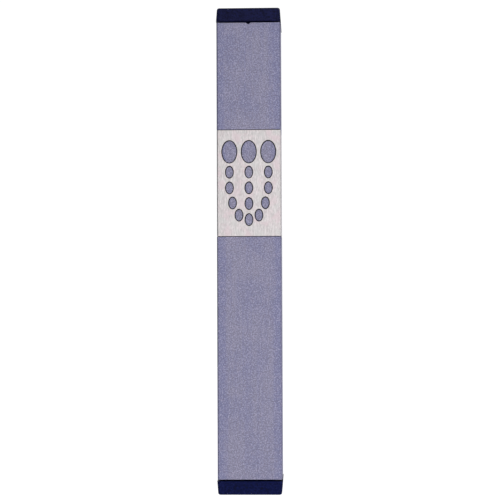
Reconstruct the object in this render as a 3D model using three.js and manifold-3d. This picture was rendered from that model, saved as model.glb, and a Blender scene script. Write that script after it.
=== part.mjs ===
// A mezuzah case: an extruded aluminium channel, closed by two identical push-in plastic caps. A thin
// perforated steel band lies flush in a recess round its front, on a black adhesive film. The case hangs
// on a T-section rail screwed to the doorpost, and holds a blank rolled parchment in a clear sleeve.
//
// Millimetres. +X is to the right as the case is looked at, +Y goes into the doorpost, +Z is up.
// The origin is on the doorpost's surface, at the middle of the case's height and width.

import * as THREE from "three";
import { mergeVertices } from "three/addons/utils/BufferGeometryUtils.js";
import Module from "manifold-3d";

// ---------- Driving dimensions ----------

const CASE_HEIGHT = 151.3; // over both caps
const CASE_SIZE = 20; // the channel's width, and its depth
const WALL = 2;
const CORNER_RADIUS = 0.5;
const POST_GAP = 0.3; // from the channel's back to the doorpost

const LIP_THICKNESS = 1.5; // the two lips at the back that hook behind the rail
const SLOT_WIDTH = 12; // between the lips
const GROOVE_DEPTH = 2.6; // front to back, for the rail's flange
const GUIDE_RIB = 1; // width and height of the ribs in front of the flange

const CAP_HEAD = 4.25;
const CAP_OVERHANG = 0.15; // how far a cap's head stands proud of the channel
const CAP_DRAFT = 0.3;
const CAP_EDGE_RADIUS = 0.6;
const TOP_CAP_GAP = 0.45; // how far each cap stands short of being pushed home
const BOTTOM_CAP_GAP = 0.5;

const SPIGOT_LENGTH = 10;
const SPIGOT_WALL = 1.3;
const SPIGOT_CLEARANCE = 0.7; // from the spigot's core to the channel
const FIN_CLEARANCE = 0.15;
const FIN_COUNT = 3;
const FIN_PITCH = 2.8;

const BAND_HEIGHT = 33;
const BAND_CENTRE_Z = 20.75;
const BAND_THICKNESS = 0.25;
const BAND_SETBACK = 1.4; // from the band's side edges to the channel's back
const RECESS_DEPTH = 0.4; // the band is flush in it
const RECESS_MARGIN = 0.2; // from the band's edges to the recess's
const FILM_THICKNESS = 0.1; // adhesive film under the band
const FILM_SHOWING = 0.3; // film seen all round each hole
const SHEET_GAP = 0.02; // between one layer and the next

const RAIL_LENGTH = 110;
const RAIL_FLANGE = { width: 15.4, thickness: 2 };
const RAIL_WEB = { width: 11.2, thickness: 2.1 };
const RAIL_CHAMFER = 0.6;
const SCREW_SPACING = 84;

const SCREW_LENGTH = 16;
const SCREW_SHANK_RADIUS = 1.1;
const SCREW_THREAD_RADIUS = 1.5;
const SCREW_HEAD_RADIUS = 2.75;
const SCREW_THREAD_PITCH = 1.35;
const SCREW_HOLE_RADIUS = 1.7;
const COUNTERSINK_RADIUS = 3.2;

const PARCHMENT_SIZE = 100; // a square sheet
const PARCHMENT_THICKNESS = 0.3;
const PARCHMENT_PITCH = 0.75; // from one turn of the roll to the next
const ROLL_RADIUS = 5.6;
const SLEEVE_LENGTH = 104;
const SLEEVE_THICKNESS = 0.15;
const SLEEVE_RADIUS = 6.05; // centre line, at the inner edge
const SLEEVE_TURNS = 1.12; // the film laps over itself
const SLEEVE_STEP = 0.33; // from one layer of the lap to the next

// The band's perforations, measured from its centre: five rows, widest at the top.
const LARGE_OVAL = { width: 5, height: 7.3 };
const SMALL_OVAL = { width: 2.75, height: 4 };
const ARM_SPACING = 6.05; // from the middle arm to each outer one
const LARGE_ROW_Z = 9.75;
const OUTER_ARM = [
  { x: ARM_SPACING, z: 3.4 },
  { x: ARM_SPACING, z: -1.5 },
  { x: 5.1, z: -6.2 },
  { x: 3.1, z: -10 },
];
const MIDDLE_ARM_Z = [3.4, -1.5, -6.4, -11.4];

// ---------- Places worked out from them ----------

const HALF = CASE_SIZE / 2;
const BACK_Y = -POST_GAP;
const FRONT_Y = BACK_Y - CASE_SIZE;
const CHAMBER_HALF = HALF - WALL;
const CHAMBER_FRONT_Y = FRONT_Y + WALL;
const LIP_FRONT_Y = BACK_Y - LIP_THICKNESS;
const GROOVE_FRONT_Y = LIP_FRONT_Y - GROOVE_DEPTH;
const RIB_FRONT_Y = GROOVE_FRONT_Y - GUIDE_RIB;
const RIB_HALF = CHAMBER_HALF - GUIDE_RIB;

const TOP_Z = CASE_HEIGHT / 2;
const SHELL_TOP_Z = TOP_Z - CAP_HEAD - TOP_CAP_GAP;
const SHELL_BOTTOM_Z = -TOP_Z + CAP_HEAD + BOTTOM_CAP_GAP;

const RAIL_FRONT_Y = -RAIL_WEB.thickness - RAIL_FLANGE.thickness;
const SCROLL_Y = (CHAMBER_FRONT_Y + RAIL_FRONT_Y) / 2;
const SPIGOT_TIP_Z = -TOP_Z + CAP_HEAD + SPIGOT_LENGTH;
const SLEEVE_BOTTOM_Z = SPIGOT_TIP_Z + 0.1;

const FILM_BACK = -RECESS_DEPTH + SHEET_GAP; // out from the channel's outside, so less than 0
const BAND_BACK = FILM_BACK + FILM_THICKNESS + SHEET_GAP;

// ---------- Materials ----------

const finish = (color, roughness, metalness, more = {}) =>
  new THREE.MeshStandardMaterial({ color, roughness, metalness, ...more });

const LAVENDER_ANODISED = finish(0x8a87a0, 0.5, 0.6);
const BRUSHED_STEEL = finish(0xd6cfcf, 0.35, 1);
const BLACK_ADHESIVE = finish(0x17161f, 0.8, 0);
const NAVY_PLASTIC = finish(0x14193c, 0.45, 0);
const PLAIN_ALUMINIUM = finish(0xc4c6ca, 0.45, 1);
const ZINC_STEEL = finish(0xbfc2c6, 0.3, 1);
const PARCHMENT = finish(0xe9dcc0, 0.8, 0);
const CLEAR_FILM = finish(0xf4f8fa, 0.15, 0, { transparent: true, opacity: 0.3 });

// ---------- Booleans ----------

const wasm = await Module();
wasm.setup();

function solidOf(geometry) {
  const bare = geometry.clone();
  bare.deleteAttribute("normal");
  bare.deleteAttribute("uv");
  const merged = mergeVertices(bare, 1e-4);
  const mesh = new wasm.Mesh({
    numProp: 3,
    vertProperties: merged.attributes.position.array,
    triVerts: new Uint32Array(merged.index.array),
  });
  return new wasm.Manifold(mesh);
}

function geometryOf(solid) {
  const mesh = solid.getMesh();
  const geometry = new THREE.BufferGeometry();
  geometry.setAttribute("position", new THREE.BufferAttribute(mesh.vertProperties, 3));
  geometry.setIndex(new THREE.BufferAttribute(mesh.triVerts, 1));
  geometry.computeVertexNormals();
  return geometry;
}

// ---------- Basic solids ----------

function box(low, high) {
  const size = high.map((value, i) => value - low[i]);
  const centre = high.map((value, i) => (value + low[i]) / 2);
  return solidOf(new THREE.BoxGeometry(...size).translate(...centre));
}

// A profile in X and Y, pulled up from z0 to z1.
function prism(shape, z0, z1, curveSegments = 6) {
  const options = { depth: z1 - z0, bevelEnabled: false, curveSegments };
  return solidOf(new THREE.ExtrudeGeometry(shape, options).translate(0, 0, z0));
}

// A profile of [radius, y] pairs turned about the Y axis, which starts and ends on that axis.
function turned(profile, segments) {
  const points = profile.map(([radius, y]) => new THREE.Vector2(radius, y));
  return solidOf(new THREE.LatheGeometry(points, segments));
}

// A cylinder along Y, stretched to an ellipse in X and Z.
function ovalPeg(x, z, width, height, y0, y1, segments) {
  const peg = new THREE.CylinderGeometry(0.5, 0.5, y1 - y0, segments);
  return solidOf(peg.scale(width, 1, height).translate(x, (y0 + y1) / 2, z));
}

// The points round a rectangle with round corners, counter-clockwise.
function roundedOutline(rectangle, radius, inset) {
  const { x, front, back } = rectangle;
  const steps = 5;
  const corners = [
    [x, back, 0],
    [-x, back, 1],
    [-x, front, 2],
    [x, front, 3],
  ];
  return corners.flatMap(([cornerX, cornerY, quarter]) => {
    const centreX = cornerX - Math.sign(cornerX) * radius;
    const centreY = cornerY - (cornerY === back ? radius : -radius);
    return Array.from({ length: steps + 1 }, (_, i) => {
      const angle = (quarter + i / steps) * (Math.PI / 2);
      const reach = radius - inset;
      return [centreX + reach * Math.cos(angle), centreY + reach * Math.sin(angle)];
    });
  });
}

// A closed solid through a rounded rectangle at several heights, each drawn in by its inset.
function stacked(rectangle, radius, levels) {
  const rings = levels.map(({ z, inset }) =>
    roundedOutline(rectangle, radius, inset).map(([x, y]) => [x, y, z]),
  );
  const count = rings[0].length;
  const positions = rings.flat(2);
  const indices = [];
  for (let ring = 0; ring < rings.length - 1; ring++) {
    for (let i = 0; i < count; i++) {
      const next = (i + 1) % count;
      const a = ring * count + i;
      const b = ring * count + next;
      indices.push(a, b, b + count, a, b + count, a + count);
    }
  }
  const last = (rings.length - 1) * count;
  for (let i = 1; i < count - 1; i++) {
    indices.push(0, i + 1, i);
    indices.push(last, last + i, last + i + 1);
  }
  const geometry = new THREE.BufferGeometry();
  geometry.setAttribute("position", new THREE.Float32BufferAttribute(positions, 3));
  geometry.setIndex(indices);
  return solidOf(geometry);
}

// ---------- The channel ----------

// The round corners and flat between them of the case's front, or of a sheet that stands outside it.
function roundFront(shape, outside, fromTheRight) {
  const radius = CORNER_RADIUS + outside;
  const centreX = HALF - CORNER_RADIUS;
  const centreY = FRONT_Y + CORNER_RADIUS;
  const quarter = Math.PI / 2;
  if (fromTheRight) {
    shape.lineTo(HALF + outside, centreY);
    shape.absarc(centreX, centreY, radius, 0, -quarter, true);
    shape.absarc(-centreX, centreY, radius, -quarter, -2 * quarter, true);
  } else {
    shape.lineTo(-HALF - outside, centreY);
    shape.absarc(-centreX, centreY, radius, -2 * quarter, -quarter, false);
    shape.absarc(centreX, centreY, radius, -quarter, 0, false);
  }
}

function channelProfile() {
  const shape = new THREE.Shape();
  const cornerX = HALF - CORNER_RADIUS;
  const cornerY = BACK_Y - CORNER_RADIUS;
  shape.moveTo(SLOT_WIDTH / 2, BACK_Y);
  shape.lineTo(cornerX, BACK_Y);
  shape.absarc(cornerX, cornerY, CORNER_RADIUS, Math.PI / 2, 0, true);
  roundFront(shape, 0, true);
  shape.lineTo(-HALF, cornerY);
  shape.absarc(-cornerX, cornerY, CORNER_RADIUS, Math.PI, Math.PI / 2, true);
  shape.lineTo(-SLOT_WIDTH / 2, BACK_Y);
  const inside = [
    [SLOT_WIDTH / 2, LIP_FRONT_Y],
    [CHAMBER_HALF, LIP_FRONT_Y],
    [CHAMBER_HALF, GROOVE_FRONT_Y],
    [RIB_HALF, GROOVE_FRONT_Y],
    [RIB_HALF, RIB_FRONT_Y],
    [CHAMBER_HALF, RIB_FRONT_Y],
    [CHAMBER_HALF, CHAMBER_FRONT_Y],
  ];
  inside.forEach(([x, y]) => shape.lineTo(-x, y));
  [...inside].reverse().forEach(([x, y]) => shape.lineTo(x, y));
  shape.closePath();
  return shape;
}

// Two marks punched into the lips. They stand in the groove, and the case hangs by them on the rail's top.
function stopMarks() {
  const pegDiameter = 1.8;
  const dimpleDiameter = 1;
  const x = (SLOT_WIDTH / 2 + CHAMBER_HALF) / 2;
  const z = RAIL_LENGTH / 2 + 0.1 + pegDiameter / 2;
  const buried = LIP_FRONT_Y + 0.4;
  const tip = LIP_FRONT_Y - 1.6;
  const dimpleEnd = BACK_Y - 0.8;
  const pegs = [-x, x].map((at) => ovalPeg(at, z, pegDiameter, pegDiameter, tip, buried, 16));
  const dimples = [-x, x].map((at) =>
    ovalPeg(at, z, dimpleDiameter, dimpleDiameter, dimpleEnd, BACK_Y + 1, 16),
  );
  return { pegs, dimples };
}

function caseShell() {
  const nickRadius = 0.7;
  const nickRise = 0.25; // its centre is this far above the channel's end
  const width = 2 * nickRadius;
  const nick = ovalPeg(
    0, SHELL_TOP_Z + nickRise, width, width, FRONT_Y - 1, CHAMBER_FRONT_Y + 1, 20,
  );
  const recess = wrappedSheet(-RECESS_DEPTH, 1, RECESS_MARGIN);
  const { pegs, dimples } = stopMarks();
  let shell = prism(channelProfile(), SHELL_BOTTOM_Z, SHELL_TOP_Z).subtract(nick).subtract(recess);
  pegs.forEach((peg) => (shell = shell.add(peg)));
  dimples.forEach((dimple) => (shell = shell.subtract(dimple)));
  return geometryOf(shell);
}

// ---------- The perforated band and its adhesive film ----------

// A sheet bent round the front and sides, between two distances from the channel's outside, and larger
// than the band by a margin at all its edges.
function wrappedSheet(inside, outside, margin) {
  const shape = new THREE.Shape();
  const endY = BACK_Y - BAND_SETBACK + margin;
  shape.moveTo(HALF + outside, endY);
  roundFront(shape, outside, true);
  shape.lineTo(-HALF - outside, endY);
  shape.lineTo(-HALF - inside, endY);
  roundFront(shape, inside, false);
  shape.lineTo(HALF + inside, endY);
  shape.closePath();
  const reach = BAND_HEIGHT / 2 + margin;
  return prism(shape, BAND_CENTRE_Z - reach, BAND_CENTRE_Z + reach);
}

// The same sheet with its fifteen holes, each drawn in by the same amount all round.
function perforatedSheet(inside, outside, margin, drawnIn) {
  const hole = (x, z, oval, segments) => {
    const width = oval.width - 2 * drawnIn;
    const height = oval.height - 2 * drawnIn;
    return ovalPeg(x, BAND_CENTRE_Z + z, width, height, FRONT_Y - 1, FRONT_Y + 1, segments);
  };
  const holes = [
    ...[-ARM_SPACING, 0, ARM_SPACING].map((x) => hole(x, LARGE_ROW_Z, LARGE_OVAL, 40)),
    ...MIDDLE_ARM_Z.map((z) => hole(0, z, SMALL_OVAL, 28)),
    ...OUTER_ARM.flatMap(({ x, z }) => [-x, x].map((at) => hole(at, z, SMALL_OVAL, 28))),
  ];
  const blank = wrappedSheet(inside, outside, margin);
  return geometryOf(holes.reduce((sheet, cut) => sheet.subtract(cut), blank));
}

function adhesiveFilm() {
  const margin = RECESS_MARGIN - SHEET_GAP;
  return perforatedSheet(FILM_BACK, FILM_BACK + FILM_THICKNESS, margin, FILM_SHOWING);
}

function perforatedBand() {
  return perforatedSheet(BAND_BACK, BAND_BACK + BAND_THICKNESS, 0, 0);
}

// ---------- The caps ----------

// The way through a cap's head for the rail: a T, 0.1 mm larger all round than the channel's groove.
function railNotch(z0, z1) {
  const ease = 0.1;
  const slotHalf = SLOT_WIDTH / 2 + ease;
  const grooveHalf = CHAMBER_HALF + ease;
  const slot = box([-slotHalf, LIP_FRONT_Y - ease, z0], [slotHalf, 1, z1]);
  const grooveLow = [-grooveHalf, GROOVE_FRONT_Y - ease, z0];
  return slot.add(box(grooveLow, [grooveHalf, LIP_FRONT_Y + ease, z1]));
}

// One moulding for both ends. Its head hangs below z = 0 and its spigot stands up from there.
function capMoulding() {
  const headRadius = 1;
  const headOutline = {
    x: HALF + CAP_OVERHANG,
    front: FRONT_Y - CAP_OVERHANG,
    back: BACK_Y + CAP_OVERHANG,
  };
  const edgeSteps = [0, 1, 2, 3, 4];
  const headLevels = edgeSteps
    .map((step) => {
      const angle = (step / (edgeSteps.length - 1)) * (Math.PI / 2);
      return {
        z: -CAP_HEAD + CAP_EDGE_RADIUS * (1 - Math.sin(angle)),
        inset: CAP_DRAFT + CAP_EDGE_RADIUS * (1 - Math.cos(angle)),
      };
    })
    .reverse();
  const head = stacked(headOutline, headRadius, [...headLevels, { z: 0, inset: 0 }]);

  const within = (clearance) => ({
    x: CHAMBER_HALF - clearance,
    front: CHAMBER_FRONT_Y + clearance,
    back: RIB_FRONT_Y - clearance,
  });
  const core = within(SPIGOT_CLEARANCE);
  const spigotRadius = 0.9;
  const leadIn = 0.5;
  const spigot = stacked(core, spigotRadius, [
    { z: -1, inset: 0 },
    { z: SPIGOT_LENGTH - 1, inset: 0 },
    { z: SPIGOT_LENGTH, inset: leadIn },
  ]);
  const finOutline = within(FIN_CLEARANCE);
  const fins = Array.from({ length: FIN_COUNT }, (_, i) => {
    const z = 1.4 + i * FIN_PITCH;
    return stacked(finOutline, spigotRadius, [
      { z, inset: 0 },
      { z: z + 0.35, inset: 0 },
      { z: z + 0.85, inset: SPIGOT_CLEARANCE - FIN_CLEARANCE - 0.05 },
    ]);
  });

  const crossWall = 1.2;
  const hollowX = core.x - SPIGOT_WALL;
  const hollowFront = core.front + SPIGOT_WALL;
  const hollowBack = core.back - SPIGOT_WALL;
  const hollowFloor = -2.1;
  const hollow = (x0, x1) =>
    box([x0, hollowFront, hollowFloor], [x1, hollowBack, SPIGOT_LENGTH + 1]);

  const solid = fins
    .reduce((joined, fin) => joined.add(fin), head.add(spigot))
    .subtract(hollow(-hollowX, -crossWall / 2))
    .subtract(hollow(crossWall / 2, hollowX))
    .subtract(railNotch(-CAP_HEAD - 1, 1));
  return geometryOf(solid);
}

// ---------- The wall rail and its screws ----------

function railProfile() {
  const shape = new THREE.Shape();
  const web = RAIL_WEB.width / 2;
  const flange = RAIL_FLANGE.width / 2;
  const shoulder = -RAIL_WEB.thickness;
  shape.moveTo(web, 0);
  shape.lineTo(web, shoulder);
  shape.lineTo(flange, shoulder);
  shape.lineTo(flange, RAIL_FRONT_Y);
  shape.lineTo(-flange, RAIL_FRONT_Y);
  shape.lineTo(-flange, shoulder);
  shape.lineTo(-web, shoulder);
  shape.lineTo(-web, 0);
  shape.closePath();
  return shape;
}

// The rail's outline as the doorpost faces it, with its four corners cut off, as a solid along Y.
function railOutline() {
  const x = RAIL_FLANGE.width / 2;
  const z = RAIL_LENGTH / 2;
  const shape = new THREE.Shape();
  shape.moveTo(x, z - RAIL_CHAMFER);
  shape.lineTo(x - RAIL_CHAMFER, z);
  shape.lineTo(-x + RAIL_CHAMFER, z);
  shape.lineTo(-x, z - RAIL_CHAMFER);
  shape.lineTo(-x, -z + RAIL_CHAMFER);
  shape.lineTo(-x + RAIL_CHAMFER, -z);
  shape.lineTo(x - RAIL_CHAMFER, -z);
  shape.lineTo(x, -z + RAIL_CHAMFER);
  shape.closePath();
  const options = { depth: 8, bevelEnabled: false };
  const plate = new THREE.ExtrudeGeometry(shape, options).rotateX(Math.PI / 2);
  return solidOf(plate.translate(0, 2, 0));
}

function countersunkHole(z) {
  const coneDepth = COUNTERSINK_RADIUS - SCREW_HOLE_RADIUS;
  const coneFoot = RAIL_FRONT_Y + coneDepth;
  const cutter = turned(
    [
      [0, RAIL_FRONT_Y - 1],
      [COUNTERSINK_RADIUS, RAIL_FRONT_Y - 1],
      [COUNTERSINK_RADIUS, RAIL_FRONT_Y],
      [SCREW_HOLE_RADIUS, coneFoot],
      [SCREW_HOLE_RADIUS, 1],
      [0, 1],
    ],
    28,
  );
  return cutter.translate([0, 0, z]);
}

function wallRail() {
  const bar = prism(railProfile(), -RAIL_LENGTH / 2, RAIL_LENGTH / 2);
  const solid = bar
    .intersect(railOutline())
    .subtract(countersunkHole(SCREW_SPACING / 2))
    .subtract(countersunkHole(-SCREW_SPACING / 2));
  return geometryOf(solid);
}

// A countersunk wood screw along +Y, its head just under the rail's front face.
function woodScrew() {
  const headY = RAIL_FRONT_Y + 0.1;
  const rim = 0.2;
  const coneFoot = headY + rim + SCREW_HEAD_RADIUS - SCREW_THREAD_RADIUS;
  const threadStart = coneFoot + 1.2;
  const tipY = headY + SCREW_LENGTH;
  const pointLength = 3;
  const turns = Math.floor((tipY - pointLength - threadStart) / SCREW_THREAD_PITCH);
  const profile = [
    [0, headY],
    [SCREW_HEAD_RADIUS, headY],
    [SCREW_HEAD_RADIUS, headY + rim],
    [SCREW_THREAD_RADIUS, coneFoot],
    [SCREW_SHANK_RADIUS, coneFoot + 0.4],
    [SCREW_SHANK_RADIUS, threadStart],
  ];
  for (let turn = 0; turn < turns; turn++) {
    const y = threadStart + turn * SCREW_THREAD_PITCH;
    profile.push([SCREW_THREAD_RADIUS, y + 0.4]);
    profile.push([SCREW_THREAD_RADIUS, y + 0.55]);
    profile.push([SCREW_SHANK_RADIUS, y + SCREW_THREAD_PITCH]);
  }
  profile.push([0, tipY]);
  const slotDepth = 1.1;
  const slotLength = 3.2;
  const slotWidth = 0.8;
  const bar = (x, z) => box([-x / 2, headY - 1, -z / 2], [x / 2, headY + slotDepth, z / 2]);
  const recess = bar(slotLength, slotWidth).add(bar(slotWidth, slotLength));
  return geometryOf(turned(profile, 20).subtract(recess));
}

// ---------- The parchment and its sleeve ----------

// A thin sheet rolled up: its centre line runs from one radius to another in that many turns.
function rolledSheet(innerRadius, outerRadius, turns, thickness, length) {
  const steps = Math.round(turns * 26);
  const side = (offset) =>
    Array.from({ length: steps + 1 }, (_, i) => {
      const share = i / steps;
      const angle = share * turns * 2 * Math.PI;
      const radius = innerRadius + (outerRadius - innerRadius) * share + offset;
      return new THREE.Vector2(radius * Math.cos(angle), radius * Math.sin(angle));
    });
  const outline = [...side(thickness / 2), ...side(-thickness / 2).reverse()];
  const options = { depth: length, bevelEnabled: false };
  return geometryOf(solidOf(new THREE.ExtrudeGeometry(new THREE.Shape(outline), options)));
}

function parchmentScroll() {
  const innerRadius = Math.sqrt(ROLL_RADIUS ** 2 - (PARCHMENT_SIZE * PARCHMENT_PITCH) / Math.PI);
  const turns = (ROLL_RADIUS - innerRadius) / PARCHMENT_PITCH;
  return rolledSheet(innerRadius, ROLL_RADIUS, turns, PARCHMENT_THICKNESS, PARCHMENT_SIZE);
}

function scrollSleeve() {
  const outerRadius = SLEEVE_RADIUS + SLEEVE_STEP * SLEEVE_TURNS;
  return rolledSheet(SLEEVE_RADIUS, outerRadius, SLEEVE_TURNS, SLEEVE_THICKNESS, SLEEVE_LENGTH);
}

// ---------- The assembly ----------

const mezuzahCase = new THREE.Group();

function place(name, geometry, material, position = [0, 0, 0], rotation = [0, 0, 0]) {
  const mesh = new THREE.Mesh(geometry, material);
  mesh.name = name;
  mesh.position.set(...position);
  mesh.rotation.set(...rotation);
  mezuzahCase.add(mesh);
}

place("case_shell", caseShell(), LAVENDER_ANODISED);
place("adhesive_film", adhesiveFilm(), BLACK_ADHESIVE);
place("perforated_band", perforatedBand(), BRUSHED_STEEL);

const cap = capMoulding();
const capZ = TOP_Z - CAP_HEAD;
place("bottom_cap", cap, NAVY_PLASTIC, [0, 0, -capZ]);
place("top_cap", cap, NAVY_PLASTIC, [0, 0, capZ], [0, Math.PI, 0]);

place("wall_rail", wallRail(), PLAIN_ALUMINIUM);
const screw = woodScrew();
place("upper_screw", screw, ZINC_STEEL, [0, 0, SCREW_SPACING / 2]);
place("lower_screw", screw, ZINC_STEEL, [0, 0, -SCREW_SPACING / 2]);

const parchmentZ = SLEEVE_BOTTOM_Z + (SLEEVE_LENGTH - PARCHMENT_SIZE) / 2;
place("parchment_scroll", parchmentScroll(), PARCHMENT, [0, SCROLL_Y, parchmentZ]);
place("scroll_sleeve", scrollSleeve(), CLEAR_FILM, [0, SCROLL_Y, SLEEVE_BOTTOM_Z]);

export default mezuzahCase;
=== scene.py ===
"""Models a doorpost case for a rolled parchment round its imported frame.

The case is a satin anodised channel with a perforated steel band let into its front, two push-in
plastic caps, the rail and screws it hangs on, and the blank parchment in its clear film.
Lengths are in metres, +Z is up and the case's front faces -Y.
"""

import math

import bmesh
import bpy
from mathutils import Color, Matrix, Vector


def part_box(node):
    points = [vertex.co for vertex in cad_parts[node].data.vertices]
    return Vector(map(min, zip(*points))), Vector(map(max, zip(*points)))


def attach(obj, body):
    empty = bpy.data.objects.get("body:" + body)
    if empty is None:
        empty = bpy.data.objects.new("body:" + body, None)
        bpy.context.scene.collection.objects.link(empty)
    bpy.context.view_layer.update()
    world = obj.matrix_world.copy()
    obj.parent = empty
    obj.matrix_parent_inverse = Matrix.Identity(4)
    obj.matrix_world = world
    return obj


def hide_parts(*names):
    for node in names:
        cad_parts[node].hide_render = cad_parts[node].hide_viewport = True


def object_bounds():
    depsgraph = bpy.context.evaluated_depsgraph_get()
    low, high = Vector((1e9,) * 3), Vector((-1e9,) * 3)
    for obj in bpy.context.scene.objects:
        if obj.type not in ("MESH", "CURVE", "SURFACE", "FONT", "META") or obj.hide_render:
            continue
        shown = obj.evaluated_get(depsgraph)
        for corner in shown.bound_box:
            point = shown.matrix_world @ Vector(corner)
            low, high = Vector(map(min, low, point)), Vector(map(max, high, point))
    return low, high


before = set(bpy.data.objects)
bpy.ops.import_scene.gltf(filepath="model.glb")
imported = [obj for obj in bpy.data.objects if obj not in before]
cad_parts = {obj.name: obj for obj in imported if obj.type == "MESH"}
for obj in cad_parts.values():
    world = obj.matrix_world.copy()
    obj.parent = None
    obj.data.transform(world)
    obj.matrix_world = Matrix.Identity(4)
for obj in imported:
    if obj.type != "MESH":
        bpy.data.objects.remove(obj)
BOUNDS_AT_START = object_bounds()

bl_info = {
    "name": "Doorpost Case",
    "version": (1, 0, 0),
    "blender": (4, 5, 0),
    "location": "View3D > Sidebar > Doorpost Case",
    "description": "Builds a perforated, anodised doorpost case with its rail and scroll",
    "category": "Object",
}

MM = 0.001
WELD = 0.002 * MM
NEAR = 0.01 * MM
SHARP_FROM = math.radians(32)
PUNCH_TIP = (0.45, 1, 0.45)
CORE_GAP = 0.7 * MM
FIN_GAP = 0.15 * MM

SHELL_LOW, SHELL_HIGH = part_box("case_shell")
BAND_LOW, BAND_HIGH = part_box("perforated_band")
ADHESIVE_LOW, ADHESIVE_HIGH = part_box("adhesive_film")
CAP_LOW, CAP_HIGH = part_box("bottom_cap")
RAIL_LOW, RAIL_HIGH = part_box("wall_rail")
SCREW_LOW, SCREW_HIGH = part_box("upper_screw")
ROLL_LOW, ROLL_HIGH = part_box("parchment_scroll")
FILM_LOW, FILM_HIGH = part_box("scroll_sleeve")
ALL_LOW = BOUNDS_AT_START[0]

SCROLL_Y = (ROLL_LOW[1] + ROLL_HIGH[1]) / 2
MIDDLE = (0, (SHELL_LOW[1] + SHELL_HIGH[1]) / 2, 0)


# ---------- Sizes and colours a user would change ----------


def length(name, description, millimetres):
    return bpy.props.FloatProperty(
        name=name, description=description, default=millimetres * MM, min=0.0, precision=5,
        subtype="DISTANCE",
    )


def colour(name, description, default):
    return bpy.props.FloatVectorProperty(
        name=name, description=description, default=default, size=3, min=0.0, max=1.0,
        subtype="COLOR",
    )


def angle(name, description, degrees):
    return bpy.props.FloatProperty(
        name=name, description=description, default=math.radians(degrees), subtype="ANGLE"
    )


def amount(name, description, default):
    return bpy.props.FloatProperty(
        name=name, description=description, default=default, min=0.0, max=1.0, subtype="FACTOR"
    )


def whole(name, description, default):
    return bpy.props.IntProperty(name=name, description=description, default=default, min=1)


class DoorpostCaseChannel(bpy.types.PropertyGroup):
    """The extruded channel."""

    wall: length("Wall", "Thickness of the front and side walls", 2)
    corner: length("Corner radius", "Radius of the four long outer corners", 0.5)
    slot: length("Slot width", "Gap between the two lips at the back", 12)
    lip: length("Lip thickness", "Thickness of the lips that hook behind the rail", 1.5)
    groove: length("Groove depth", "Front to back size of the rail flange's groove", 2.6)
    rib: length("Guide rib", "Width and height of the ribs in front of the rail", 1)
    nick: length("Nick radius", "Radius of the notch that a nail lifts the top cap by", 0.7)
    edge: length("Edge softening", "Width of the small bevel on the cut edges", 0.14)


class DoorpostCaseBand(bpy.types.PropertyGroup):
    """The perforated band."""

    thickness: length("Thickness", "Thickness of the sheet", 0.25)
    recess: length("Recess depth", "Depth of the recess that the sheet lies flush in", 0.4)
    margin: length("Recess margin", "Gap between the sheet's edges and the recess's", 0.2)
    # The black film is painted shade: where it shows round each hole and in the recess margin, it
    # stands in for the shadow of the sheet's edges.
    bed: length("Adhesive thickness", "Thickness of the black film under the sheet", 0.1)
    showing: length("Adhesive showing", "Width of black film seen round each hole", 0.3)
    large_width: length("Large oval width", "Width of the three large holes", 5)
    large_height: length("Large oval height", "Height of the three large holes", 7.3)
    small_width: length("Small oval width", "Width of the small holes", 2.75)
    small_height: length("Small oval height", "Height of the small holes", 4)
    edge: length("Edge softening", "Width of the small bevel on the stamped edges", 0.06)


class DoorpostCaseCap(bpy.types.PropertyGroup):
    """The two caps."""

    head: length("Head height", "Height of the part that stays outside the channel", 4.25)
    draft: length("Draft", "How much each side of the head leans in", 0.3)
    corner: length("Corner radius", "Radius of the head's upright corners", 1)
    rim: length("Rim radius", "Rounding round the head's outer face", 0.6)
    wall: length("Spigot wall", "Thickness of the hollow spigot's wall", 1.3)
    fins: whole("Fins", "Soft fins round the spigot", 3)
    edge: length("Edge softening", "Width of the small bevel on the moulded edges", 0.1)


class DoorpostCaseRail(bpy.types.PropertyGroup):
    """The wall rail and its screws."""

    web_width: length("Web width", "Width of the part that lies on the doorpost", 11.2)
    web_depth: length("Web depth", "Distance from the doorpost to the flange", 2.1)
    chamfer: length("Chamfer", "Corners cut off the flange's ends", 0.6)
    screw_spacing: length("Screw spacing", "Distance between the two screws", 84)
    hole: length("Hole radius", "Radius of the screw holes", 1.7)
    countersink: length("Countersink radius", "Countersink's radius at the rail's face", 3.2)
    shank: length("Shank radius", "Radius of the screw's core", 1.1)
    thread: length("Thread radius", "Radius over the screw's thread", 1.5)
    pitch: length("Thread pitch", "Distance from one turn of the thread to the next", 1.35)


class DoorpostCaseScroll(bpy.types.PropertyGroup):
    """The rolled parchment and its film."""

    sheet: length("Sheet thickness", "Thickness of the parchment", 0.28)
    pitch: length("Roll pitch", "Distance from one turn of the roll to the next", 0.75)
    film: length("Film thickness", "Thickness of the clear film", 0.12)
    lap: length("Film lap", "Distance from one layer of the film to the next", 0.33)
    curl: length("Waviness", "How far the parchment strays from a true roll", 0.09)


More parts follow.
